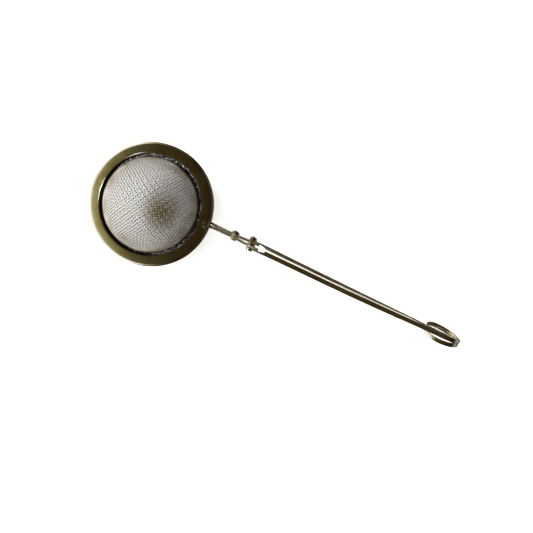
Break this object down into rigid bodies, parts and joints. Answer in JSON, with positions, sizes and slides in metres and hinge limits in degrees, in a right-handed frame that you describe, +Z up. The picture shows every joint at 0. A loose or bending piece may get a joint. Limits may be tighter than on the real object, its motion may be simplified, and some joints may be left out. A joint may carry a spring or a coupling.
{
  "type": "tea strainer",
  "caption": "Mesh tea ball in two hinged halves on a long sprung squeeze handle that ends in a coil loop.",
  "frame": {"origin": "centre of the bounding box's base, on the surface the tool lies on", "axes": "+X from the ball towards the tail of the handle, +Y along the hinge rivets towards their domed heads, +Z up"},
  "size_m": [0.1606, 0.05, 0.0439],
  "materials": {
    "pressed_rim_steel": "pressed and polished stainless sheet, fine rubbing marks",
    "woven_wire_steel": "plain-woven drawn stainless wire, faintly tea-stained",
    "blanked_lever_steel": "blanked stainless plate, tumbled edges",
    "headed_rivet_steel": "cold-headed bright rivets",
    "rolled_strip_steel": "rolled spring strip, bright, drawn lengthwise"
  },
  "bodies": {
    "handle_top": {"upper_handle_arm": "rolled_strip_steel", "handle_coil": "rolled_strip_steel", "upper_arm_rivet": "headed_rivet_steel"},
    "handle_bottom": {"lower_handle_arm": "rolled_strip_steel", "lower_arm_rivet": "headed_rivet_steel"},
    "upper_half": {"upper_stem_lever": "blanked_lever_steel", "upper_stem_rivet": "headed_rivet_steel", "upper_rim_ring": "pressed_rim_steel", "upper_mesh_dome": "woven_wire_steel", "upper_mesh_retainer_ring": "pressed_rim_steel", "pivot_rivet": "headed_rivet_steel"},
    "lower_half": {"lower_stem_lever": "blanked_lever_steel", "lower_stem_rivet": "headed_rivet_steel", "lower_rim_ring": "pressed_rim_steel", "lower_mesh_dome": "woven_wire_steel", "lower_mesh_retainer_ring": "pressed_rim_steel"}
  },
  "joints": [
    {"name": "handle_squeeze", "type": "hinge", "parent": "handle_top", "child": "handle_bottom", "pos_m": [0.07243, 0.00275, 0.00804], "axis": [0, 1, 0], "range_deg": [0, 7.1], "stiffness_Nm_per_rad": 1, "springref_deg": -5.73},
    {"name": "upper_half_open", "type": "hinge", "parent": "handle_top", "child": "upper_half", "pos_m": [-0.01165, 0.00275, 0.02474], "axis": [0, 1, 0], "range_deg": [0, 36.6]},
    {"name": "lower_half_open", "type": "hinge", "parent": "handle_bottom", "child": "lower_half", "pos_m": [-0.01328, 0.00275, 0.00983], "axis": [0, -1, 0], "range_deg": [0, 36.6]}
  ],
  "couplings": [
    {"joint": "upper_half_open", "follows": "handle_squeeze", "ratio": 5.154},
    {"joint": "lower_half_open", "follows": "handle_squeeze", "ratio": 5.154}
  ]
}
